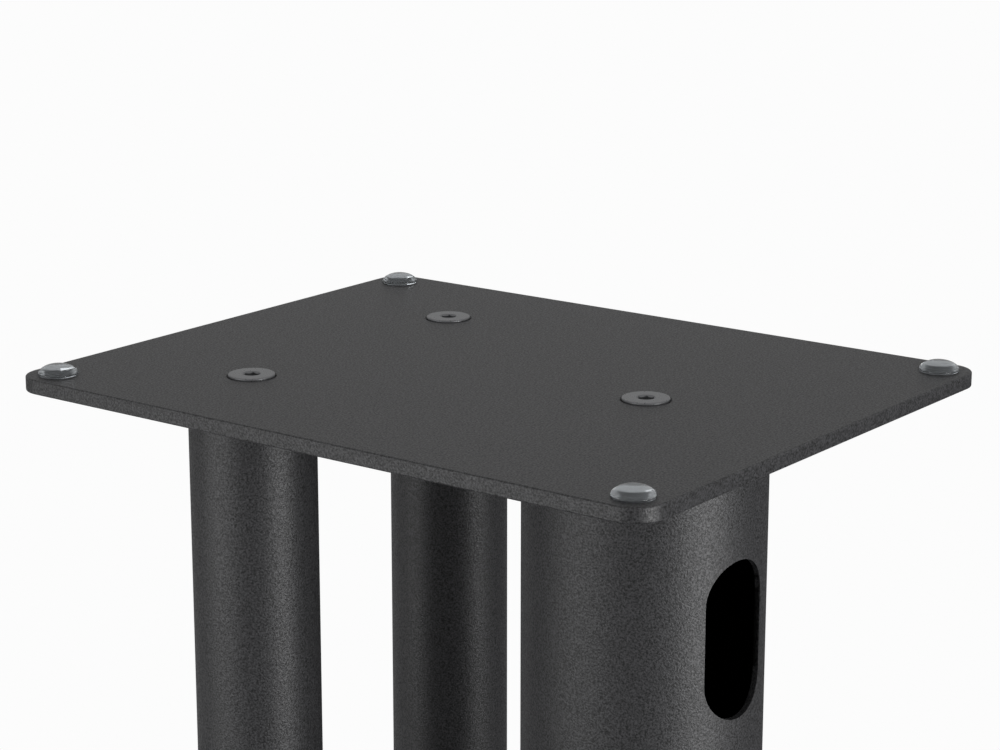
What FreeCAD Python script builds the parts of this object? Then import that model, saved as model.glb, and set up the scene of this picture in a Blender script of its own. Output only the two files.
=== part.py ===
import FreeCAD, Part
import math
import os

from FreeCAD import Vector

# A three-column speaker stand, in millimetres. +Z is up and z = 0 is the floor.
# The origin lies under the middle of the plates. -Y is the front, where the two slim
# columns stand, and +Y is the rear, where the main column's cable slots face.

# Overall height, from the floor to the upper face of the top plate
overall_height = 610.0

# Plates: laser-cut sheet with rounded corners and lightly broken edges
top_plate_width = 200.0
top_plate_depth = 250.0
top_plate_thickness = 5.0
top_plate_corner_radius = 10.0
base_plate_width = 260.0
base_plate_depth = 330.0
base_plate_thickness = 6.0
base_plate_corner_radius = 12.0
plate_edge_chamfer = 0.5

# Columns, placed from the edges of the top plate
main_column_diameter = 79.0
main_column_wall = 2.0
main_column_rear_inset = 66.5
slim_column_diameter = 42.5
slim_column_wall = 1.5
slim_column_front_inset = 63.0
slim_column_side_inset = 47.5

# Cable slots: round-ended windows in the main column, one near each end
slot_width = 26.5
slot_length = 52.5
slot_centre_from_end = 67.6
main_column_turn = 3.8  # degrees that the column stands turned about its screw

# End fixings: a threaded disc is welded inside each end of every column
end_disc_thickness = 8.0
weld_clearance = 0.1

# Countersunk screws with a hexagon socket
thread_diameter = 8.0
thread_clearance = 0.1
screw_clearance_hole = 9.0
countersink_diameter = 16.3
screw_head_diameter = 15.5
screw_head_rim = 1.1
screw_length = 16.0
screw_socket_across_flats = 5.0
screw_socket_depth = 3.0
screw_seat_clearance = 0.05

# Clear soft pads under the speaker
pad_diameter = 13.4
pad_height = 3.3
pad_crown_diameter = 4.4
pad_edge_inset = 10.5

# Levelling feet: bush in the base plate, spike, lock nut and floor shoe
foot_inset = 22.0
bush_diameter = 14.0
bush_flange_diameter = 20.0
bush_flange_thickness = 2.5
spike_length = 29.0
spike_tip_diameter = 1.2
spike_point_angle = 60.0
spike_socket_across_flats = 4.0
spike_socket_depth = 4.0
lock_nut_across_flats = 13.0
lock_nut_height = 4.0
lock_nut_to_shoe = 6.0
shoe_diameter = 24.0
shoe_height = 6.0
shoe_recess_diameter = 11.0
shoe_recess_depth = 3.0

# Levels, from the floor up
spike_tip_level = shoe_height - shoe_recess_depth
lock_nut_bottom = shoe_height + lock_nut_to_shoe
base_bottom = lock_nut_bottom + lock_nut_height
base_top = base_bottom + base_plate_thickness
column_top = overall_height - top_plate_thickness

# Places, seen from above
slim_column_x = top_plate_width / 2 - slim_column_side_inset
slim_column_y = slim_column_front_inset - top_plate_depth / 2
main_column_y = top_plate_depth / 2 - main_column_rear_inset
columns = {
    "main_column": (0.0, main_column_y, main_column_diameter, main_column_wall),
    "front_left_column": (-slim_column_x, slim_column_y, slim_column_diameter, slim_column_wall),
    "front_right_column": (slim_column_x, slim_column_y, slim_column_diameter, slim_column_wall),
}
corners = {
    "front_left": (-1, -1),
    "front_right": (1, -1),
    "rear_left": (-1, 1),
    "rear_right": (1, 1),
}
countersink_half_angle = 45.0
past_face = 1.0  # how far a cutting tool runs past the faces that it opens


def save(name, solids):
    """Write one node: a single solid, or a group of separate ones."""
    shape = solids if isinstance(solids, Part.Shape) else Part.makeCompound(solids)
    shape.exportStep("parts/" + name + ".step")


def upright(x, y, z, diameter, height):
    """A round bar standing at x, y with its lower end at z."""
    return Part.makeCylinder(diameter / 2, height, Vector(x, y, z))


def turned(profile, x, y, z):
    """Spin a closed outline of (radius, height) points and arcs about its own axis."""
    spun = Part.Face(profile).revolve(Vector(0, 0, 0), Vector(0, 0, 1), 360)
    spun.translate(Vector(x, y, z))
    return spun


def outline(points):
    """A closed outline in the XZ plane through (radius, height) points."""
    corner_points = [Vector(radius, 0, height) for radius, height in points]
    return Part.makePolygon(corner_points + corner_points[:1])


def hexagon(x, y, z, across_flats, height):
    """A hexagonal bar with two of its flats facing +Y and -Y."""
    corner_radius = across_flats / math.sqrt(3)
    angles = [math.radians(60 * step) for step in range(7)]
    rim = [Vector(x + corner_radius * math.cos(a), y + corner_radius * math.sin(a), z) for a in angles]
    return Part.Face(Part.makePolygon(rim)).extrude(Vector(0, 0, height))


def rounded_plate(width, depth, thickness, corner_radius, bottom):
    """Flat plate with round corners, its top and bottom rims lightly broken."""
    plate = Part.makeBox(width, depth, thickness, Vector(-width / 2, -depth / 2, bottom))
    upright_edges = [e for e in plate.Edges if abs(e.tangentAt(e.FirstParameter).z) > 0.5]
    plate = plate.makeFillet(corner_radius, upright_edges)
    rims = [e for e in plate.Edges if e.BoundBox.ZLength < thickness / 2]
    return plate.makeChamfer(min(plate_edge_chamfer, thickness / 3), rims)


def countersunk_hole(x, y, face, into):
    """Clearance hole and 90 degree countersink, from a face into the plate (into is -1 or 1)."""
    depth = (countersink_diameter - screw_clearance_hole) / 2
    reach = max(top_plate_thickness, base_plate_thickness) + past_face
    hole = outline(
        [
            (0, past_face),
            (countersink_diameter / 2 + past_face, past_face),
            (screw_clearance_hole / 2, -depth),
            (screw_clearance_hole / 2, -reach),
            (0, -reach),
        ]
    )
    cutter = turned(hole, 0, 0, 0)
    if into > 0:
        cutter.rotate(Vector(0, 0, 0), Vector(1, 0, 0), 180)
    cutter.translate(Vector(x, y, face))
    return cutter


def make_top_plate():
    """Platform that the speaker stands on, screwed down to the three columns."""
    plate = rounded_plate(
        top_plate_width, top_plate_depth, top_plate_thickness, top_plate_corner_radius, column_top
    )
    for x, y, _, _ in columns.values():
        plate = plate.cut(countersunk_hole(x, y, overall_height, -1))
    return plate


def foot_place(side_x, side_y):
    """Centre of a foot, inset from a corner of the base plate."""
    return (
        side_x * (base_plate_width / 2 - foot_inset),
        side_y * (base_plate_depth / 2 - foot_inset),
    )


def pad_place(side_x, side_y):
    """Centre of a pad, inset from a corner of the top plate."""
    return (
        side_x * (top_plate_width / 2 - pad_edge_inset),
        side_y * (top_plate_depth / 2 - pad_edge_inset),
    )


def make_base_plate():
    """Larger lower plate, countersunk from below, with a hole for each foot's bush."""
    plate = rounded_plate(
        base_plate_width, base_plate_depth, base_plate_thickness, base_plate_corner_radius, base_bottom
    )
    for x, y, _, _ in columns.values():
        plate = plate.cut(countersunk_hole(x, y, base_bottom, 1))
    for sides in corners.values():
        x, y = foot_place(*sides)
        hole_diameter = bush_diameter + 2 * weld_clearance
        low = base_bottom - past_face
        plate = plate.cut(upright(x, y, low, hole_diameter, base_plate_thickness + 2 * past_face))
    return plate


def make_tube(x, y, diameter, wall):
    """Open tube that reaches from the base plate to the top plate."""
    length = column_top - base_top
    bore = upright(x, y, base_top - past_face, diameter - 2 * wall, length + 2 * past_face)
    return upright(x, y, base_top, diameter, length).cut(bore)


def slot_cutter(x, y, level, reach):
    """Round-ended bar that leaves the column's axis at a level, towards the rear."""
    radius = slot_width / 2
    straight = slot_length / 2 - radius
    left_low, right_low = Vector(-radius, 0, -straight), Vector(radius, 0, -straight)
    left_high, right_high = Vector(-radius, 0, straight), Vector(radius, 0, straight)
    rim = Part.Wire(
        [
            Part.LineSegment(right_low, right_high).toShape(),
            Part.Arc(right_high, Vector(0, 0, slot_length / 2), left_high).toShape(),
            Part.LineSegment(left_high, left_low).toShape(),
            Part.Arc(left_low, Vector(0, 0, -slot_length / 2), right_low).toShape(),
        ]
    )
    cutter = Part.Face(rim).extrude(Vector(0, reach, 0))
    cutter.rotate(Vector(0, 0, 0), Vector(0, 0, 1), -main_column_turn)
    cutter.translate(Vector(x, y, level))
    return cutter


def make_main_tube(x, y, diameter, wall):
    """Main column with its two cable slots, through the rear wall only."""
    tube = make_tube(x, y, diameter, wall)
    for level in (column_top - slot_centre_from_end, base_top + slot_centre_from_end):
        tube = tube.cut(slot_cutter(x, y, level, diameter / 2 + past_face))
    return tube


def make_end_disc(x, y, diameter, wall, bottom):
    """Thick disc that closes a column's end, its bore threaded for the screw."""
    fitted_diameter = diameter - 2 * wall - 2 * weld_clearance
    bore_diameter = thread_diameter + 2 * thread_clearance
    disc = upright(x, y, bottom, fitted_diameter, end_disc_thickness)
    bore_height = end_disc_thickness + 2 * past_face
    return disc.cut(upright(x, y, bottom - past_face, bore_diameter, bore_height))


def make_lock_nut(x, y):
    """Thin hexagon nut that is run up against the base plate."""
    bore_diameter = thread_diameter + 2 * thread_clearance
    bore = upright(x, y, lock_nut_bottom - past_face, bore_diameter, lock_nut_height + 2 * past_face)
    return hexagon(x, y, lock_nut_bottom, lock_nut_across_flats, lock_nut_height).cut(bore)


def make_screw(x, y, face, into):
    """Countersunk screw seated in a plate's face; its tip points into the column."""
    head_radius = screw_head_diameter / 2
    thread_radius = thread_diameter / 2
    seat_drop = (countersink_diameter - screw_head_diameter) / 2 - screw_seat_clearance
    head_top = screw_head_rim - seat_drop
    cone_end = -seat_drop - (head_radius - thread_radius) / math.tan(math.radians(countersink_half_angle))
    tip = head_top - screw_length
    profile = outline(
        [
            (0, head_top),
            (head_radius, head_top),
            (head_radius, -seat_drop),
            (thread_radius, cone_end),
            (thread_radius, tip),
            (0, tip),
        ]
    )
    socket_floor = head_top - screw_socket_depth
    socket = hexagon(0, 0, socket_floor, screw_socket_across_flats, screw_socket_depth + past_face)
    screw = turned(profile, 0, 0, 0).cut(socket)
    if into > 0:
        screw.rotate(Vector(0, 0, 0), Vector(1, 0, 0), 180)
    screw.translate(Vector(x, y, face))
    return screw


def make_pad(x, y):
    """Clear dome with a small flat crown, cut from a ball."""
    base_radius = pad_diameter / 2
    crown_radius = pad_crown_diameter / 2
    # the ball's centre lies level with every point as far from the base rim as from the crown's rim
    centre_height = (crown_radius**2 + pad_height**2 - base_radius**2) / (2 * pad_height)
    ball_radius = math.hypot(base_radius, centre_height)
    ball = Part.makeSphere(ball_radius, Vector(x, y, overall_height + centre_height))
    slab = upright(x, y, overall_height, pad_diameter + 2 * past_face, pad_height)
    return ball.common(slab)


def make_bush(x, y):
    """Threaded bush, let into the base plate from above and flanged on top of it."""
    body = upright(x, y, base_bottom, bush_diameter, base_plate_thickness + bush_flange_thickness)
    flange = upright(x, y, base_top, bush_flange_diameter, bush_flange_thickness)
    bore_height = base_plate_thickness + bush_flange_thickness + 2 * past_face
    bore = upright(x, y, base_bottom - past_face, thread_diameter + 2 * thread_clearance, bore_height)
    return body.fuse(flange).removeSplitter().cut(bore)


def make_spike(x, y):
    """Threaded spike: pointed end down in the shoe, key socket up above the base plate."""
    thread_radius = thread_diameter / 2
    tip_radius = spike_tip_diameter / 2
    point_height = (thread_radius - tip_radius) / math.tan(math.radians(spike_point_angle / 2))
    spike = turned(
        outline(
            [
                (0, 0),
                (tip_radius, 0),
                (thread_radius, point_height),
                (thread_radius, spike_length),
                (0, spike_length),
            ]
        ),
        x,
        y,
        spike_tip_level,
    )
    socket_floor = spike_tip_level + spike_length - spike_socket_depth
    return spike.cut(hexagon(x, y, socket_floor, spike_socket_across_flats, spike_socket_depth + past_face))


def make_shoe(x, y):
    """Turned disc with a round recess that keeps the spike's point on the floor."""
    shoe = upright(x, y, 0, shoe_diameter, shoe_height)
    return shoe.cut(upright(x, y, spike_tip_level, shoe_recess_diameter, shoe_recess_depth + past_face))


os.makedirs("parts", exist_ok=True)

save("top_plate", make_top_plate())
save("base_plate", make_base_plate())

for name, (x, y, diameter, wall) in columns.items():
    make_column = make_main_tube if name == "main_column" else make_tube
    save(name + "_tube", make_column(x, y, diameter, wall))

disc_bottoms = (column_top - end_disc_thickness, base_top)
save("column_end_discs", [make_end_disc(*c, bottom) for c in columns.values() for bottom in disc_bottoms])

column_places = [(x, y) for x, y, _, _ in columns.values()]
save("top_plate_screws", [make_screw(x, y, overall_height, -1) for x, y in column_places])
save("base_plate_screws", [make_screw(x, y, base_bottom, 1) for x, y in column_places])

save("speaker_pads", [make_pad(*pad_place(*sides)) for sides in corners.values()])
save("foot_bushes", [make_bush(*foot_place(*sides)) for sides in corners.values()])
for name, sides in corners.items():
    x, y = foot_place(*sides)
    save(name + "_spike", make_spike(x, y))
    save(name + "_lock_nut", make_lock_nut(x, y))
    save(name + "_floor_shoe", make_shoe(x, y))
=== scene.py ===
import math

import bmesh
import bpy
from mathutils import Matrix, Vector


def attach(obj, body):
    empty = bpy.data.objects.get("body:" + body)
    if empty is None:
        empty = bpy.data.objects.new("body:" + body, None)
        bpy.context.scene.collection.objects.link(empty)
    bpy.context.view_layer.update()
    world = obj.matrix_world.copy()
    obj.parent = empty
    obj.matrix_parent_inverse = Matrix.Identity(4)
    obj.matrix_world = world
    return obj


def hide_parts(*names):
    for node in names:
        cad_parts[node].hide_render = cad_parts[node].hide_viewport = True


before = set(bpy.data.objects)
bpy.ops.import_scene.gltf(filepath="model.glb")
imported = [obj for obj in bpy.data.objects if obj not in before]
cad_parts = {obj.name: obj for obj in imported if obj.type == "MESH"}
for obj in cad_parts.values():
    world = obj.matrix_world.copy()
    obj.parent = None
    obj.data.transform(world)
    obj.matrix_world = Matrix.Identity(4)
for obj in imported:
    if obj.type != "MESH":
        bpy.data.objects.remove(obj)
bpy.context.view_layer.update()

# Shapes are worked out in millimetres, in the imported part's frame: +Z up, z = 0 the floor,
# -Y the front with the slim columns, +Y the rear with the cable slots.
MM = 0.001

# Levels
FLOOR = 0.0
SPIKE_TIP = 3.0
SHOE_TOP = 6.0
LOCK_NUT_BOTTOM = 12.0
BASE_BOTTOM = 16.0
BASE_TOP = 22.0
COLUMN_TOP = 605.0
PLATFORM = 610.0

# Plates: width and depth, corner radius seen from above, radius of the softened rims
TOP_SIZE, TOP_CORNER, TOP_RIM = (200.0, 250.0), 10.0, 0.55
BASE_SIZE, BASE_CORNER, BASE_RIM = (260.0, 330.0), 12.0, 0.6

# Columns: place seen from above, outer diameter, wall
MAIN_COLUMN = (0.0, 58.5)
MAIN_DIAMETER = 79.0
MAIN_WALL = 2.0
SLIM_COLUMNS = {
    "front_left_column_tube": (-52.5, -62.0),
    "front_right_column_tube": (52.5, -62.0),
}
SLIM_DIAMETER = 42.5
SLIM_WALL = 1.5
COLUMN_PLACES = [MAIN_COLUMN, *SLIM_COLUMNS.values()]

# Cable slots in the main column, placed as in the photograph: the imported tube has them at
# 537.4 and 89.6 and turned 3.8 degrees
SLOT_WIDTH = 26.5
SLOT_LENGTH = 52.5
SLOT_LEVELS = (539.4, 87.6)
COLUMN_TURN = math.radians(-7.3)

# M8 thread: radii at its crest and root, pitch, and the bore radius of what it turns in
THREAD_CREST = 4.0
THREAD_ROOT = 3.35
THREAD_PITCH = 1.25
THREAD_BORE = 4.1

# Countersunk M8 screws and their holes
COUNTERSINK_DIAMETER = 16.3
COUNTERSINK_LIP = 0.25
CLEARANCE_HOLE = 9.0
HEAD_DIAMETER = 15.5
HEAD_PROUD = 0.75
HEAD_RIM = 1.1
SCREW_LENGTH = 16.0
SCREW_KEY = 5.0
SCREW_KEY_DEPTH = 3.0

# Levelling feet
SPIKE_LENGTH = 29.0
SPIKE_TIP_RADIUS = 0.6
SPIKE_KEY = 4.0
SPIKE_KEY_DEPTH = 4.0
LOCK_NUT_ACROSS = 13.0
LOCK_NUT_HEIGHT = 4.0
BUSH_RADIUS = 7.0
BUSH_HOLE_RADIUS = 7.1
BUSH_FLANGE_RADIUS = 10.0
BUSH_FLANGE_HEIGHT = 2.5
SHOE_RADIUS = 12.0
SHOE_RECESS_RADIUS = 5.5

# Clear pads
PAD_RADIUS = 6.7
PAD_HEIGHT = 3.3
PAD_CROWN_RADIUS = 2.2
PAD_ADHESIVE = 0.05

# Corners as signs of X and Y, and the places of the foot and the pad at +X +Y
CORNERS = {
    "front_left": (-1, -1),
    "front_right": (1, -1),
    "rear_left": (-1, 1),
    "rear_right": (1, 1),
}
FOOT_PLACE = (108.0, 143.0)
PAD_PLACE = (89.5, 114.5)


# ---------------------------------------------------------------- shapes


def tidy(bm):
    """Merge vertices that meet and turn every face outwards."""
    bmesh.ops.remove_doubles(bm, verts=bm.verts, dist=0.0005)
    bmesh.ops.recalc_face_normals(bm, faces=bm.faces)


def lathe(points, place=(0.0, 0.0), steps=64, closed=False):
    """Spin a chain of (radius, height) points about an upright axis."""
    bm = bmesh.new()
    x, y = place
    chain = [bm.verts.new((x + radius, y, height)) for radius, height in points]
    pairs = list(zip(chain, chain[1:])) + ([(chain[-1], chain[0])] if closed else [])
    edges = [bm.edges.new(pair) for pair in pairs]
    bmesh.ops.spin(
        bm,
        geom=chain + edges,
        cent=(x, y, 0),
        axis=(0, 0, 1),
        angle=math.tau,
        steps=steps,
        use_merge=True,
    )
    tidy(bm)
    return bm


def bevel(bm, geom, radius, segments, affect="EDGES"):
    """Round edges or corners without a limit on the radius."""
    bmesh.ops.bevel(
        bm, geom=geom, offset=radius, segments=segments, profile=0.5, affect=affect, material=-1
    )


def soften(bm, radius, segments=3, chosen=lambda edge: True, sharper_than=30.0):
    """Round the edges at which two faces meet at a marked angle."""
    limit = math.radians(sharper_than)
    joined = [e for e in bm.edges if len(e.link_faces) == 2]
    sharp = [e for e in joined if e.calc_face_angle() > limit and chosen(e)]
    bmesh.ops.bevel(
        bm,
        geom=sharp,
        offset=radius,
        offset_type="OFFSET",
        segments=segments,
        profile=0.5,
        affect="EDGES",
        material=-1,
        clamp_overlap=True,
    )


def extrude(bm, vec):
    """Push the mesh's one face along a vector and keep the face it leaves as a cap."""
    far = bmesh.ops.extrude_face_region(bm, geom=bm.faces[:])
    verts = [v for v in far["geom"] if isinstance(v, bmesh.types.BMVert)]
    bmesh.ops.translate(bm, vec=vec, verts=verts)


def corner_radius(across_flats):
    """Radius at the corners of a hexagon of a given size across its flats."""
    return across_flats / math.sqrt(3)


def hexagon(across_flats, height, bottom=0.0):
    """Upright hexagonal bar, two of its flats facing +Y and -Y."""
    bm = bmesh.new()
    bmesh.ops.create_circle(bm, cap_ends=True, segments=6, radius=corner_radius(across_flats))
    extrude(bm, (0, 0, height))
    bmesh.ops.translate(bm, vec=(0, 0, bottom), verts=bm.verts)
    tidy(bm)
    return bm


def combine(blank, tool, operation="DIFFERENCE"):
    """Cut the tool out of the blank, keep only what they share, or join them."""
    objects = []
    for bm in (blank, tool):
        mesh = bpy.data.meshes.new("blank")
        bm.to_mesh(mesh)
        bm.free()
        objects.append(bpy.data.objects.new("blank", mesh))
        bpy.context.scene.collection.objects.link(objects[-1])
    modifier = objects[0].modifiers.new("cut", "BOOLEAN")
    modifier.object = objects[1]
    modifier.operation = operation
    modifier.solver = "EXACT"
    graph = bpy.context.evaluated_depsgraph_get()
    result = bpy.data.meshes.new_from_object(objects[0].evaluated_get(graph))
    bm = bmesh.new()
    bm.from_mesh(result)
    bpy.data.meshes.remove(result)
    for obj in objects:
        bpy.data.meshes.remove(obj.data)
    tidy(bm)
    return bm


def add_mesh(bm, other, places=(Matrix.Identity(4),)):
    """Add another mesh's faces at every place, each a matrix."""
    mesh = bpy.data.meshes.new("unit")
    other.to_mesh(mesh)
    for place in places:
        before = len(bm.verts)
        bm.from_mesh(mesh)
        bm.verts.ensure_lookup_table()
        bmesh.ops.transform(bm, matrix=place, verts=bm.verts[before:])
    bpy.data.meshes.remove(mesh)


def copies(unit, places):
    """One mesh that holds the unit at every place."""
    bm = bmesh.new()
    add_mesh(bm, unit, places)
    return bm


def at_places(places, level, flipped=False):
    """Matrices that stand a unit at places seen from above, upside down if flipped."""
    turn = Matrix.Rotation(math.pi, 4, "X") if flipped else Matrix.Identity(4)
    return [Matrix.Translation((x, y, level)) @ turn for x, y in places]


def at_corners(place):
    """The four places seen from above that mirror the one at +X +Y."""
    return [(sx * place[0], sy * place[1]) for sx, sy in CORNERS.values()]


def piece(name, bm, materials, node, body="root"):
    """Turn a finished mesh into an object that stands for a CAD node and rides on its body."""
    tidy(bm)
    bmesh.ops.scale(bm, vec=(MM, MM, MM), verts=bm.verts)
    mesh = bpy.data.meshes.new(name)
    bm.to_mesh(mesh)
    bm.free()
    mesh.shade_smooth()
    mesh.set_sharp_from_angle(angle=math.radians(38))
    obj = bpy.data.objects.new(name, mesh)
    bpy.context.scene.collection.objects.link(obj)
    for material in materials:
        mesh.materials.append(material)
    modifier = obj.modifiers.new("flat faces stay flat", "WEIGHTED_NORMAL")
    modifier.keep_sharp = True
    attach(obj, body)
    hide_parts(node)


def plate(size, corner, rim, bottom, top, holes):
    """Sheet with round corners and softened rims; each hole is a wall that joins its faces."""
    bm = bmesh.new()
    middle = Matrix.Translation((0, 0, (bottom + top) / 2))
    bmesh.ops.create_cube(bm, size=1, matrix=middle @ Matrix.Diagonal((*size, top - bottom, 1)))
    upright = [e for e in bm.edges if abs(e.verts[0].co.z - e.verts[1].co.z) > 1]
    bevel(bm, upright, corner, 16)
    level_edges = [e for e in bm.edges if abs(e.verts[0].co.z - e.verts[1].co.z) < 1]
    bevel(bm, level_edges, rim, 4)
    bm.normal_update()
    flats = [f for f in bm.faces if abs(f.normal.z) > 0.999]
    bmesh.ops.delete(bm, geom=flats, context="FACES_ONLY")
    for hole in holes:
        add_mesh(bm, hole)
        hole.free()
    for level, facing in ((top, 1), (bottom, -1)):
        open_edges = [e for e in bm.edges if len(e.link_faces) < 2]
        outline = [e for e in open_edges if all(abs(v.co.z - level) < 0.001 for v in e.verts)]
        bmesh.ops.triangle_fill(bm, use_beauty=True, edges=outline, normal=(0, 0, facing))
    tidy(bm)
    return bm


def countersink(place, face, far, into):
    """Wall of a countersunk hole from a face to the plate's far side; into is -1 down or 1 up."""
    depth = (COUNTERSINK_DIAMETER - CLEARANCE_HOLE) / 2
    points = [
        (COUNTERSINK_DIAMETER / 2 + COUNTERSINK_LIP, face),
        (COUNTERSINK_DIAMETER / 2, face + into * COUNTERSINK_LIP),
        (CLEARANCE_HOLE / 2, face + into * depth),
        (CLEARANCE_HOLE / 2, far),
    ]
    return lathe(points, place, steps=96)


def tube(place, diameter, wall, steps):
    """Open tube between the plates, the sharp edges of its ends taken off."""
    outer, inner = diameter / 2, diameter / 2 - wall
    ring = [(outer, BASE_TOP), (outer, COLUMN_TOP), (inner, COLUMN_TOP), (inner, BASE_TOP)]
    bm = lathe(ring, place, steps, closed=True)
    soften(bm, 0.35, 2, sharper_than=60)
    return bm


def slot_tool(level):
    """Round-ended bar that passes out through the main column's rear wall."""
    bm = bmesh.new()
    upright = Matrix.Rotation(math.pi / 2, 4, "X") @ Matrix.Diagonal((SLOT_WIDTH, SLOT_LENGTH, 1, 1))
    bmesh.ops.create_grid(bm, x_segments=1, y_segments=1, size=0.5, matrix=upright)
    bevel(bm, bm.verts[:], SLOT_WIDTH / 2, 24, affect="VERTICES")
    bmesh.ops.remove_doubles(bm, verts=bm.verts, dist=0.01)
    extrude(bm, (0, MAIN_DIAMETER, 0))
    stand = Matrix.Translation((*MAIN_COLUMN, level)) @ Matrix.Rotation(COLUMN_TURN, 4, "Z")
    bmesh.ops.transform(bm, matrix=stand, verts=bm.verts)
    tidy(bm)
    return bm


def make_main_column():
    """Wide tube with its two cable slots; faces on the bore's side take the second material."""
    bm = tube(MAIN_COLUMN, MAIN_DIAMETER, MAIN_WALL, 256)
    for level in SLOT_LEVELS:
        bm = combine(bm, slot_tool(level))

    def near_slot(edge):
        reach = SLOT_LENGTH / 2 + 1
        return any(abs(v.co.z - level) < reach for level in SLOT_LEVELS for v in edge.verts)

    soften(bm, 0.4, 3, sharper_than=40, chosen=near_slot)
    axis = Vector(MAIN_COLUMN)
    bore_radius = MAIN_DIAMETER / 2 - MAIN_WALL
    for face in bm.faces:
        centre = face.calc_center_median()
        face.material_index = int((centre.xy - axis).length < bore_radius + 0.05)
    return bm


def threaded_rod(low, high, steps=36):
    """V thread swept up a helix and cut off square at both ends."""
    turns = math.ceil((high - low) / THREAD_PITCH) + 2
    crest_flat, root_flat = THREAD_PITCH / 8, THREAD_PITCH / 4
    flank = (THREAD_PITCH - crest_flat - root_flat) / 2
    points = [
        (THREAD_ROOT, 0),
        (THREAD_ROOT, root_flat),
        (THREAD_CREST, root_flat + flank),
        (THREAD_CREST, root_flat + flank + crest_flat),
        (THREAD_ROOT, THREAD_PITCH),
    ]
    start = low - 1.5 * THREAD_PITCH
    bm = bmesh.new()
    chain = [bm.verts.new((radius, 0, start + height)) for radius, height in points]
    edges = [bm.edges.new(pair) for pair in zip(chain, chain[1:])]
    bmesh.ops.spin(
        bm,
        geom=chain + edges,
        cent=(0, 0, 0),
        axis=(0, 0, 1),
        dvec=Vector((0, 0, THREAD_PITCH / steps)),
        angle=math.tau * turns,
        steps=steps * turns,
    )
    bmesh.ops.remove_doubles(bm, verts=bm.verts, dist=0.002)
    for level, up in ((low, -1), (high, 1)):
        bmesh.ops.bisect_plane(
            bm,
            geom=bm.verts[:] + bm.edges[:] + bm.faces[:],
            dist=0.0001,
            plane_co=(0, 0, level),
            plane_no=(0, 0, up),
            clear_outer=True,
        )
    bmesh.ops.holes_fill(bm, edges=[e for e in bm.edges if e.is_boundary], sides=0)
    tidy(bm)
    return bm


def hex_socket(blank, across_flats, top, depth):
    """Sink a hexagon socket with a drill point below it and a small lead-in at its mouth."""
    bm = combine(blank, hexagon(across_flats, depth + 1, top - depth))
    drill_radius = across_flats / 2 - 0.05
    drill = [
        (0, top - depth - 0.45 * drill_radius),
        (drill_radius, top - depth),
        (drill_radius, top - depth / 2),
        (0, top - depth / 2),
    ]
    bm = combine(bm, lathe(drill, steps=48))
    mouth = corner_radius(across_flats) + 0.25
    lead = [(0, top - mouth), (mouth + 0.5, top + 0.5), (0, top + 0.5)]
    return combine(bm, lathe(lead, steps=64))


def make_screw():
    """Countersunk screw, its seat's mouth at z = 0 and its tip down."""
    head_radius = HEAD_DIAMETER / 2
    neck_radius = THREAD_ROOT - 0.05
    rim_bottom = HEAD_PROUD - HEAD_RIM
    shank_start = rim_bottom - (head_radius - THREAD_CREST)
    turned_head = [
        (0, HEAD_PROUD),
        (head_radius, HEAD_PROUD),
        (head_radius, rim_bottom),
        (neck_radius, shank_start - 0.7),
        (neck_radius, shank_start - 1.5),
        (0, shank_start - 1.5),
    ]
    head = lathe(turned_head, steps=96)
    soften(head, 0.4, 4, chosen=lambda e: min(v.co.z for v in e.verts) > rim_bottom - 0.1)
    head = hex_socket(head, SCREW_KEY, HEAD_PROUD, SCREW_KEY_DEPTH)
    tip, beyond_crest = HEAD_PROUD - SCREW_LENGTH, THREAD_CREST + 0.3
    envelope = [
        (0, tip),
        (THREAD_ROOT - 0.3, tip),
        (beyond_crest, tip + 1.3),
        (beyond_crest, shank_start - 0.5),
        (0, shank_start - 0.5),
    ]
    shank = combine(threaded_rod(tip - 0.5, shank_start - 1.0), lathe(envelope), "INTERSECT")
    return combine(head, shank, "UNION")


def make_spike():
    """Levelling spike, its 60 degree point at z = 0 and its key socket on top."""
    beyond_crest = THREAD_CREST + 0.2
    point_height = (beyond_crest - SPIKE_TIP_RADIUS) / math.tan(math.radians(30))
    envelope = [
        (0, 0),
        (SPIKE_TIP_RADIUS, 0),
        (beyond_crest, point_height),
        (beyond_crest, SPIKE_LENGTH - 0.9),
        (THREAD_ROOT - 0.05, SPIKE_LENGTH),
        (0, SPIKE_LENGTH),
    ]
    blank = combine(threaded_rod(-0.5, SPIKE_LENGTH + 0.5), lathe(envelope), "INTERSECT")
    return hex_socket(blank, SPIKE_KEY, SPIKE_LENGTH, SPIKE_KEY_DEPTH)


def make_lock_nut():
    """Thin hexagon nut with chamfered corners, its lower face at z = 0."""
    height = LOCK_NUT_HEIGHT
    face_radius = LOCK_NUT_ACROSS / 2 * 0.96
    reach = corner_radius(LOCK_NUT_ACROSS) + 0.3
    drop = (reach - face_radius) * math.tan(math.radians(30))
    turned = [
        (0, 0),
        (face_radius, 0),
        (reach, drop),
        (reach, height - drop),
        (face_radius, height),
        (0, height),
    ]
    bm = combine(hexagon(LOCK_NUT_ACROSS, height), lathe(turned, steps=96), "INTERSECT")
    flare = 0.5
    bored = [
        (0, -0.5),
        (THREAD_BORE + flare + 0.5, -0.5),
        (THREAD_BORE, flare),
        (THREAD_BORE, height - flare),
        (THREAD_BORE + flare + 0.5, height + 0.5),
        (0, height + 0.5),
    ]
    return combine(bm, lathe(bored, steps=48))


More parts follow.
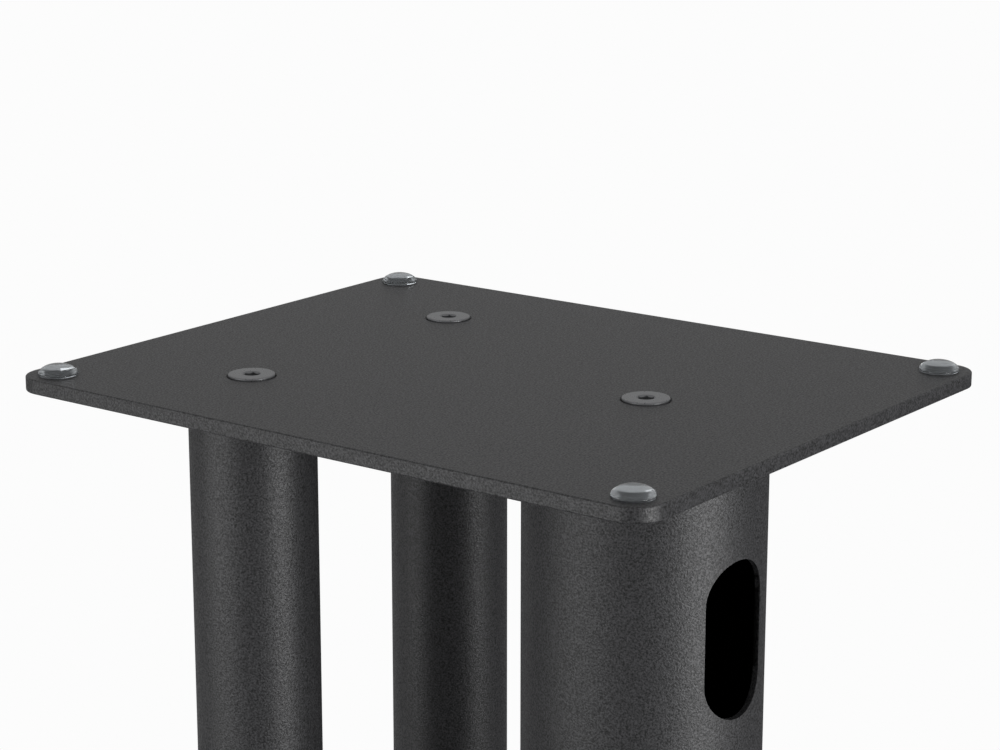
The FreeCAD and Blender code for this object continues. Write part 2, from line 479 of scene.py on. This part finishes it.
def make_bush():
    """Threaded bush with a flange that lies on the base plate."""
    top = BASE_TOP + BUSH_FLANGE_HEIGHT
    ring = [
        (BUSH_RADIUS, BASE_BOTTOM),
        (BUSH_RADIUS, BASE_TOP),
        (BUSH_FLANGE_RADIUS, BASE_TOP),
        (BUSH_FLANGE_RADIUS, top),
        (THREAD_BORE, top),
        (THREAD_BORE, BASE_BOTTOM),
    ]
    bm = lathe(ring, closed=True)

    def at_an_end(edge):
        level = edge.verts[0].co.z
        return level > BASE_TOP + 1 or level < BASE_BOTTOM + 1

    soften(bm, 0.4, 3, sharper_than=60, chosen=at_an_end)
    return bm


def make_shoe():
    """Turned floor shoe with a recess for the spike's point and a groove round its side."""
    turned = [
        (0, FLOOR),
        (SHOE_RADIUS - 0.6, FLOOR),
        (SHOE_RADIUS, 0.6),
        (SHOE_RADIUS, 2.4),
        (SHOE_RADIUS - 0.5, 2.7),
        (SHOE_RADIUS - 0.5, 3.3),
        (SHOE_RADIUS, 3.6),
        (SHOE_RADIUS, SHOE_TOP - 0.8),
        (SHOE_RADIUS - 0.8, SHOE_TOP),
        (SHOE_RECESS_RADIUS + 0.3, SHOE_TOP),
        (SHOE_RECESS_RADIUS, SHOE_TOP - 0.3),
        (SHOE_RECESS_RADIUS, SPIKE_TIP + 0.3),
        (SHOE_RECESS_RADIUS - 0.3, SPIKE_TIP),
        (0, SPIKE_TIP),
    ]
    bm = lathe(turned, steps=96)
    soften(bm, 0.12, 2, sharper_than=25)
    return bm


def make_pad():
    """Clear dome with full round sides and a small flat crown, on a film of adhesive."""
    steps = 14
    last = math.acos(PAD_CROWN_RADIUS / PAD_RADIUS)
    rise = (PAD_HEIGHT - PAD_ADHESIVE) / math.sin(last)
    arc = [last * i / steps for i in range(1, steps + 1)]
    side = [(PAD_RADIUS * math.cos(t), PAD_ADHESIVE + rise * math.sin(t)) for t in arc]
    foot = [(0, PAD_ADHESIVE), (PAD_RADIUS - 0.15, PAD_ADHESIVE)]
    bm = lathe([*foot, *side, (0, PAD_HEIGHT)], steps=96)
    at_crown = PAD_HEIGHT - 0.05
    soften(bm, 0.4, 4, sharper_than=12, chosen=lambda e: min(v.co.z for v in e.verts) > at_crown)
    return bm


# ------------------------------------------------------------- materials

# Socket numbers of the Mix node, whose socket names repeat: factor, the two colours and the
# mixed colour, and the two numbers of a Mix of numbers
FACTOR = 0
COLOUR_A, COLOUR_B, MIXED_COLOUR = 6, 7, 2
NUMBER_A, NUMBER_B = 2, 3


def linear(hex_colour):
    """sRGB hex to the linear colour that a shader takes."""
    channels = [int(hex_colour[i : i + 2], 16) / 255 for i in (1, 3, 5)]
    return (*[c / 12.92 if c <= 0.04045 else ((c + 0.055) / 1.055) ** 2.4 for c in channels], 1.0)


def add_node(tree, kind, sockets=None, **settings):
    """Add a node with its settings; a socket takes a value, or a link from another's output."""
    node = tree.nodes.new(kind)
    for name, value in settings.items():
        setattr(node, name, value)
    for name, value in (sockets or {}).items():
        if isinstance(value, bpy.types.NodeSocket):
            tree.links.new(value, node.inputs[name])
        else:
            node.inputs[name].default_value = value
    return node


def new_material(name):
    """An empty node material, its tree and its object coordinates in metres."""
    material = bpy.data.materials.new(name)
    material.use_nodes = True
    tree = material.node_tree
    tree.nodes.clear()
    place = add_node(tree, "ShaderNodeTexCoord").outputs["Object"]
    return material, tree, place


def finish_material(tree, sockets):
    """End a material in one Principled shader with the given sockets."""
    shader = add_node(tree, "ShaderNodeBsdfPrincipled", sockets).outputs[0]
    add_node(tree, "ShaderNodeOutputMaterial", {"Surface": shader})


def powder_coat():
    """Fine-texture black polyester powder on steel: cured grains give a soft, broken sheen."""
    material, tree, place = new_material("fine_texture_powder_coat")
    # Grains lie about 0.6 mm apart and stand 0.05 mm high
    sockets = {"Vector": place, "Scale": 1 / (0.62 * MM), "Detail": 2.0, "Roughness": 0.6}
    noise = add_node(tree, "ShaderNodeTexNoise", sockets).outputs["Fac"]
    sockets = {"Value": noise, "From Min": 0.34, "From Max": 0.66}
    grain = add_node(tree, "ShaderNodeMapRange", sockets, clamp=True).outputs[0]
    sockets = {"Height": grain, "Distance": 0.05 * MM, "Strength": 1.0}
    bump = add_node(tree, "ShaderNodeBump", sockets).outputs[0]
    sockets = {FACTOR: grain, COLOUR_A: linear("#0e0e0f"), COLOUR_B: linear("#4a4a4c")}
    tone = add_node(tree, "ShaderNodeMix", sockets, data_type="RGBA").outputs[MIXED_COLOUR]
    sockets = {"Value": grain, "To Min": 0.52, "To Max": 0.38}
    rough = add_node(tree, "ShaderNodeMapRange", sockets).outputs[0]
    finish_material(tree, {"Base Color": tone, "Roughness": rough, "Normal": bump, "IOR": 1.56})
    return material


def mill_scale():
    """Uncoated bore of a drawn tube: dull, almost black mill scale that swallows the light."""
    material, tree, place = new_material("mill_scale_bore")
    # Patches of scale about 6 mm across
    sockets = {"Vector": place, "Scale": 1 / (6 * MM), "Detail": 4.0}
    cloud = add_node(tree, "ShaderNodeTexNoise", sockets).outputs["Fac"]
    sockets = {FACTOR: cloud, COLOUR_A: linear("#060606"), COLOUR_B: linear("#0d0c0b")}
    tone = add_node(tree, "ShaderNodeMix", sockets, data_type="RGBA").outputs[MIXED_COLOUR]
    finish_material(tree, {"Base Color": tone, "Roughness": 0.9, "Specular IOR Level": 0.05})
    return material


def black_zinc():
    """Black zinc plate on the screws: smoother and paler than the powder, with a satin sheen."""
    material, tree, place = new_material("black_zinc_plate")
    # Faint clouds that the plating bath leaves, about 1 mm across
    sockets = {"Vector": place, "Scale": 1 / (0.9 * MM), "Detail": 3.0}
    cloud = add_node(tree, "ShaderNodeTexNoise", sockets).outputs["Fac"]
    sockets = {FACTOR: cloud, COLOUR_A: linear("#7c7d7f"), COLOUR_B: linear("#919294")}
    tone = add_node(tree, "ShaderNodeMix", sockets, data_type="RGBA").outputs[MIXED_COLOUR]
    sockets = {"Value": cloud, "From Min": 0.3, "From Max": 0.7, "To Min": 0.26, "To Max": 0.38}
    rough = add_node(tree, "ShaderNodeMapRange", sockets).outputs[0]
    sockets = {"Height": cloud, "Distance": 0.01 * MM, "Strength": 1.0}
    bump = add_node(tree, "ShaderNodeBump", sockets).outputs[0]
    sockets = {"Base Color": tone, "Roughness": rough, "Normal": bump, "Metallic": 0.6}
    finish_material(tree, sockets)
    return material


def clear_rubber():
    """Clear cast polyurethane: a glossy skin, and a trace of milky haze that the light fills."""
    material, tree, place = new_material("clear_polyurethane")
    # Slow unevenness of a cast skin, 2.5 mm across and a few microns high
    sockets = {"Vector": place, "Scale": 1 / (2.5 * MM), "Detail": 2.0}
    cloud = add_node(tree, "ShaderNodeTexNoise", sockets).outputs["Fac"]
    sockets = {"Height": cloud, "Distance": 0.006 * MM, "Strength": 1.0}
    bump = add_node(tree, "ShaderNodeBump", sockets).outputs[0]
    sockets = {FACTOR: cloud, COLOUR_A: linear("#9da1a4"), COLOUR_B: linear("#abafb2")}
    tone = add_node(tree, "ShaderNodeMix", sockets, data_type="RGBA").outputs[MIXED_COLOUR]
    sockets = {"Base Color": tone, "Normal": bump, "Roughness": 0.06, "IOR": 1.5}
    sockets["Transmission Weight"] = 0.86
    finish_material(tree, sockets)
    return material


def bright_zinc():
    """Bright zinc plate on turned steel: pale grey metal with fine tool marks round the part."""
    material, tree, place = new_material("bright_zinc_plate")
    # Tool marks 0.25 mm apart up the part; real ones are nearer 0.1 mm and would not show
    flow = add_node(tree, "ShaderNodeMapping", {"Vector": place, "Scale": (1.0, 1.0, 12.0)})
    sockets = {"Vector": flow.outputs[0], "Scale": 1 / (3 * MM), "Detail": 4.0}
    marks = add_node(tree, "ShaderNodeTexNoise", sockets).outputs["Fac"]
    sockets = {FACTOR: marks, COLOUR_A: linear("#b4b7ba"), COLOUR_B: linear("#d3d5d6")}
    tone = add_node(tree, "ShaderNodeMix", sockets, data_type="RGBA").outputs[MIXED_COLOUR]
    sockets = {"Value": marks, "From Min": 0.3, "From Max": 0.7, "To Min": 0.22, "To Max": 0.36}
    rough = add_node(tree, "ShaderNodeMapRange", sockets).outputs[0]
    sockets = {"Height": marks, "Distance": 0.01 * MM, "Strength": 1.0}
    bump = add_node(tree, "ShaderNodeBump", sockets).outputs[0]
    sockets = {"Base Color": tone, "Roughness": rough, "Normal": bump, "Metallic": 1.0}
    finish_material(tree, sockets)
    return material


def turned_nickel():
    """Nickel-plated turned steel: warm grey metal with the lathe's fine rings."""
    material, tree, place = new_material("turned_nickel_plate")
    # Rings 0.2 mm apart up the part; real ones are nearer 0.1 mm and would not show
    flow = add_node(tree, "ShaderNodeMapping", {"Vector": place, "Scale": (0.15, 0.15, 6.0)})
    sockets = {"Vector": flow.outputs[0], "Scale": 1 / (1.2 * MM), "Detail": 3.0}
    rings = add_node(tree, "ShaderNodeTexNoise", sockets).outputs["Fac"]
    sockets = {FACTOR: rings, COLOUR_A: linear("#a9a59f"), COLOUR_B: linear("#c9c5bd")}
    tone = add_node(tree, "ShaderNodeMix", sockets, data_type="RGBA").outputs[MIXED_COLOUR]
    sockets = {"Value": rings, "From Min": 0.3, "From Max": 0.7, "To Min": 0.2, "To Max": 0.32}
    rough = add_node(tree, "ShaderNodeMapRange", sockets).outputs[0]
    sockets = {"Height": rings, "Distance": 0.012 * MM, "Strength": 1.0}
    bump = add_node(tree, "ShaderNodeBump", sockets).outputs[0]
    sockets = {"Base Color": tone, "Roughness": rough, "Normal": bump, "Metallic": 1.0}
    finish_material(tree, sockets)
    return material


def bare_steel():
    """Sawn and welded steel inside the tubes: dull grey with a blued cloudiness."""
    material, tree, place = new_material("welded_bare_steel")
    # Clouds of heat tint about 9 mm across
    sockets = {"Vector": place, "Scale": 1 / (9 * MM), "Detail": 5.0}
    cloud = add_node(tree, "ShaderNodeTexNoise", sockets).outputs["Fac"]
    sockets = {FACTOR: cloud, COLOUR_A: linear("#4e4f52"), COLOUR_B: linear("#77736d")}
    tone = add_node(tree, "ShaderNodeMix", sockets, data_type="RGBA").outputs[MIXED_COLOUR]
    sockets = {"Height": cloud, "Distance": 0.05 * MM, "Strength": 1.0}
    bump = add_node(tree, "ShaderNodeBump", sockets).outputs[0]
    sockets = {"Base Color": tone, "Roughness": 0.55, "Normal": bump, "Metallic": 1.0}
    finish_material(tree, sockets)
    return material


COAT = powder_coat()
BORE = mill_scale()
BLACK_ZINC = black_zinc()
CLEAR = clear_rubber()
ZINC = bright_zinc()
NICKEL = turned_nickel()
STEEL = bare_steel()

# ---------------------------------------------------------------- pieces

foot_places = at_corners(FOOT_PLACE)

# Platform, countersunk from above
holes = [countersink(place, PLATFORM, COLUMN_TOP, -1) for place in COLUMN_PLACES]
top_sheet = plate(TOP_SIZE, TOP_CORNER, TOP_RIM, COLUMN_TOP, PLATFORM, holes)
piece("top_plate_sheet", top_sheet, [COAT], "top_plate")

# Base plate, countersunk from below and bored for the four bushes
holes = [countersink(place, BASE_BOTTOM, BASE_TOP, 1) for place in COLUMN_PLACES]
bush_hole = [(BUSH_HOLE_RADIUS, BASE_BOTTOM), (BUSH_HOLE_RADIUS, BASE_TOP)]
holes += [lathe(bush_hole, place) for place in foot_places]
base_sheet = plate(BASE_SIZE, BASE_CORNER, BASE_RIM, BASE_BOTTOM, BASE_TOP, holes)
piece("base_plate_sheet", base_sheet, [COAT], "base_plate")

# Columns
piece("main_column", make_main_column(), [COAT, BORE], "main_column_tube")
for node, place in SLIM_COLUMNS.items():
    slim = tube(place, SLIM_DIAMETER, SLIM_WALL, 160)
    piece(node.replace("_tube", ""), slim, [COAT], node)

# Screws, in the platform's and in the base plate's countersinks
screw = make_screw()
screws = copies(screw, at_places(COLUMN_PLACES, PLATFORM))
piece("top_countersunk_screws", screws, [BLACK_ZINC], "top_plate_screws")
screws = copies(screw, at_places(COLUMN_PLACES, BASE_BOTTOM, flipped=True))
piece("base_countersunk_screws", screws, [BLACK_ZINC], "base_plate_screws")

# Pads near the platform's corners
pads = copies(make_pad(), at_places(at_corners(PAD_PLACE), PLATFORM))
piece("clear_dome_pads", pads, [CLEAR], "speaker_pads")

# Levelling feet
bushes = copies(make_bush(), at_places(foot_places, FLOOR))
piece("foot_threaded_bushes", bushes, [COAT], "foot_bushes")
FOOT_PARTS = (
    # piece, its mesh, its level, material, slot, CAD node, body
    ("levelling_spike", make_spike(), SPIKE_TIP, ZINC, "zinc_steel", "spike", "spike_stud"),
    ("thin_nut", make_lock_nut(), LOCK_NUT_BOTTOM, ZINC, "zinc_steel", "lock_nut", "nut"),
    ("spike_shoe", make_shoe(), FLOOR, NICKEL, "shoe_metal", "floor_shoe", "shoe"),
)
for corner, place in zip(CORNERS, foot_places):
    for name, unit, level, material, slot, node, body in FOOT_PARTS:
        part = copies(unit, at_places([place], level))
        piece(f"{corner}_{name}", part, [material], f"{corner}_{node}", f"{corner}_{body}")

# The end discs stay as packed; they close the columns and are seen only through the slots
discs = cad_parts["column_end_discs"]
discs.data.materials.clear()
discs.data.materials.append(STEEL)

# ------------------------------------------------- floor, light and camera

TO_CAMERA = (0.7996, 0.6005, 0.0)  # level direction in which the camera stands
TO_RIGHT = (-0.6005, 0.7996, 0.0)  # level direction to the picture's right
WHITE = linear("#fcfcfc")
FLOOR_COLOUR = linear("#e4e4e4")
FLOOR_GLOW = linear("#b4b4b4")
FLOOR_HALF_SIZE = 40.0
CLEAN_FROM, CLEAN_TO = 0.45, 1.1  # metres from the middle at which the floor turns plain white

# Brightness, where 1 is white, of the floor's sides and back and of the world in a mirror
# image, and of the world as light
FLOOR_LEFT = 0.24
FLOOR_RIGHT = 0.08
FLOOR_BACK = 0.18
WORLD_GLOSS = 0.45
WORLD_LIGHT = 0.25

# Camera: turn, tilt and roll in degrees, and its place from the middle of the platform's
# top, in millimetres along its own axes
CAMERA_TURN, CAMERA_TILT, CAMERA_ROLL = 128.289, 14.285, -0.316
CAMERA_BACK, CAMERA_RIGHT, CAMERA_UP = 869.942, -19.226, -0.873
CAMERA_LENS = 94.908
CAMERA_SHIFT = 0.06


def ray_is(tree, *kinds):
    """1 where the ray is of one of the given kinds, such as Camera or Transmission."""
    path = add_node(tree, "ShaderNodeLightPath")
    level = path.outputs["Is " + kinds[0] + " Ray"]
    for kind in kinds[1:]:
        sockets = {0: level, 1: path.outputs["Is " + kind + " Ray"]}
        level = add_node(tree, "ShaderNodeMath", sockets, operation="MAXIMUM").outputs[0]
    return level


def floor_in_gloss(tree, place):
    """How bright the floor is in a mirror image, by the way it lies from the object: dark in
    front, under the camera, dim at the right, a little paler at the left and behind."""
    unit = add_node(tree, "ShaderNodeVectorMath", {0: place}, operation="NORMALIZE").outputs[0]

    def ramp(towards, start, full, low, high):
        sockets = {0: unit, 1: towards}
        facing = add_node(tree, "ShaderNodeVectorMath", sockets, operation="DOT_PRODUCT")
        sockets = {"Value": facing.outputs["Value"], "From Min": start, "From Max": full}
        sockets.update({"To Min": low, "To Max": high})
        smooth = add_node(tree, "ShaderNodeMapRange", sockets, interpolation_type="SMOOTHSTEP")
        return smooth.outputs[0]

    aside = ramp(TO_CAMERA, 0.85, 0.5, 0.0, 1.0)
    sides = ramp(TO_RIGHT, -0.3, 0.3, FLOOR_LEFT, FLOOR_RIGHT)
    behind = ramp(TO_CAMERA, -0.8, -0.95, 0.0, 1.0)
    level = add_node(tree, "ShaderNodeMath", {0: aside, 1: sides}, operation="MULTIPLY").outputs[0]
    sockets = {FACTOR: behind, NUMBER_A: level, NUMBER_B: FLOOR_BACK}
    return add_node(tree, "ShaderNodeMix", sockets, data_type="FLOAT").outputs[0]


def make_floor():
    """Wide pale floor that looks white away from the object and keeps its shadow near it."""
    bm = bmesh.new()
    bmesh.ops.create_grid(bm, x_segments=1, y_segments=1, size=FLOOR_HALF_SIZE)
    mesh = bpy.data.meshes.new("floor")
    bm.to_mesh(mesh)
    bm.free()
    floor = bpy.data.objects.new("floor", mesh)
    bpy.context.scene.collection.objects.link(floor)
    material, tree, place = new_material("pale_studio_floor")
    reach = add_node(tree, "ShaderNodeVectorMath", {0: place}, operation="LENGTH")
    sockets = {"Value": reach.outputs["Value"], "From Min": CLEAN_FROM, "From Max": CLEAN_TO}
    clean = add_node(tree, "ShaderNodeMapRange", sockets, interpolation_type="SMOOTHSTEP")
    lit = add_node(tree, "ShaderNodeBsdfDiffuse", {"Color": FLOOR_COLOUR}).outputs[0]
    white = add_node(tree, "ShaderNodeEmission", {"Color": WHITE}).outputs[0]
    glow = add_node(tree, "ShaderNodeEmission", {"Color": FLOOR_GLOW}).outputs[0]
    near = add_node(tree, "ShaderNodeAddShader", {0: lit, 1: glow}).outputs[0]
    sockets = {0: clean.outputs[0], 1: near, 2: white}
    seen = add_node(tree, "ShaderNodeMixShader", sockets).outputs[0]
    sockets = {"Color": WHITE, "Strength": floor_in_gloss(tree, place)}
    mirrored = add_node(tree, "ShaderNodeEmission", sockets).outputs[0]
    sockets = {0: ray_is(tree, "Camera", "Transmission"), 1: lit, 2: seen}
    surface = add_node(tree, "ShaderNodeMixShader", sockets).outputs[0]
    sockets = {0: ray_is(tree, "Glossy"), 1: surface, 2: mirrored}
    surface = add_node(tree, "ShaderNodeMixShader", sockets).outputs[0]
    add_node(tree, "ShaderNodeOutputMaterial", {"Surface": surface})
    mesh.materials.append(material)


def make_world():
    """White surroundings for the eye and through clear parts, an even grey in gloss, and a
    dimmer even level as light."""
    world = bpy.data.worlds.new("white_studio")
    bpy.context.scene.world = world
    world.use_nodes = True
    tree = world.node_tree
    tree.nodes.clear()
    sockets = {FACTOR: ray_is(tree, "Glossy"), NUMBER_A: WORLD_LIGHT, NUMBER_B: WORLD_GLOSS}
    light = add_node(tree, "ShaderNodeMix", sockets, data_type="FLOAT").outputs[0]
    sockets = {0: ray_is(tree, "Camera", "Transmission"), 1: light}
    strength = add_node(tree, "ShaderNodeMath", sockets, operation="MAXIMUM").outputs[0]
    sockets = {"Color": WHITE, "Strength": strength}
    backdrop = add_node(tree, "ShaderNodeBackground", sockets).outputs[0]
    add_node(tree, "ShaderNodeOutputWorld", {"Surface": backdrop})


def softbox(name, side_angle, distance, height, size, watts, mirrored=True):
    """Upright soft light that faces the object, turned round from the camera's direction
    (positive to its right); a fill light leaves no mirror image of itself in gloss."""
    light = bpy.data.lights.new(name, "AREA")
    light.shape = "RECTANGLE"
    light.size, light.size_y = size
    light.energy = watts
    lamp = bpy.data.objects.new(name, light)
    bpy.context.scene.collection.objects.link(lamp)
    direction = Matrix.Rotation(math.radians(side_angle), 3, "Z") @ Vector(TO_CAMERA)
    lamp.location = direction * distance + Vector((0, 0, height))
    lamp.rotation_euler = direction.to_track_quat("Z", "Y").to_euler()
    lamp.visible_camera = False
    lamp.visible_glossy = mirrored


def make_camera():
    """Camera at the photograph's place, found from the outlines of the platform and columns."""
    turn, tilt, roll = (math.radians(a) for a in (CAMERA_TURN, CAMERA_TILT, CAMERA_ROLL))
    right = Vector((math.cos(turn), math.sin(turn), 0))
    back = Vector((math.sin(turn), -math.cos(turn), 0)) * math.cos(tilt)
    back.z = math.sin(tilt)
    up = back.cross(right)
    place = Vector((0, 0, PLATFORM)) + CAMERA_BACK * back + CAMERA_RIGHT * right + CAMERA_UP * up
    rolled_right = right * math.cos(roll) + up * math.sin(roll)
    rolled_up = up * math.cos(roll) - right * math.sin(roll)
    axes = Matrix((rolled_right, rolled_up, back)).transposed().to_4x4()
    data = bpy.data.cameras.new("camera")
    data.sensor_width = 36.0
    data.lens = CAMERA_LENS
    data.shift_x = CAMERA_SHIFT
    data.clip_start = 0.05
    camera = bpy.data.objects.new("camera", data)
    bpy.context.scene.collection.objects.link(camera)
    camera.matrix_world = Matrix.Translation(place * MM) @ axes
    bpy.context.scene.camera = camera


make_floor()
make_world()
softbox("right softbox", side_angle=52, distance=1.1, height=0.42, size=(0.5, 0.76), watts=6.4)
softbox("left softbox", side_angle=-58, distance=1.3, height=0.42, size=(1.1, 0.76), watts=5.3)
softbox(
    "right fill", side_angle=51, distance=1.1, height=0.72, size=(0.46, 0.9), watts=2.0, mirrored=False
)
softbox(
    "front fill", side_angle=-140, distance=1.6, height=0.5, size=(1.2, 1.0), watts=10.0, mirrored=False
)
make_camera()
bpy.context.scene.view_settings.view_transform = "Standard"
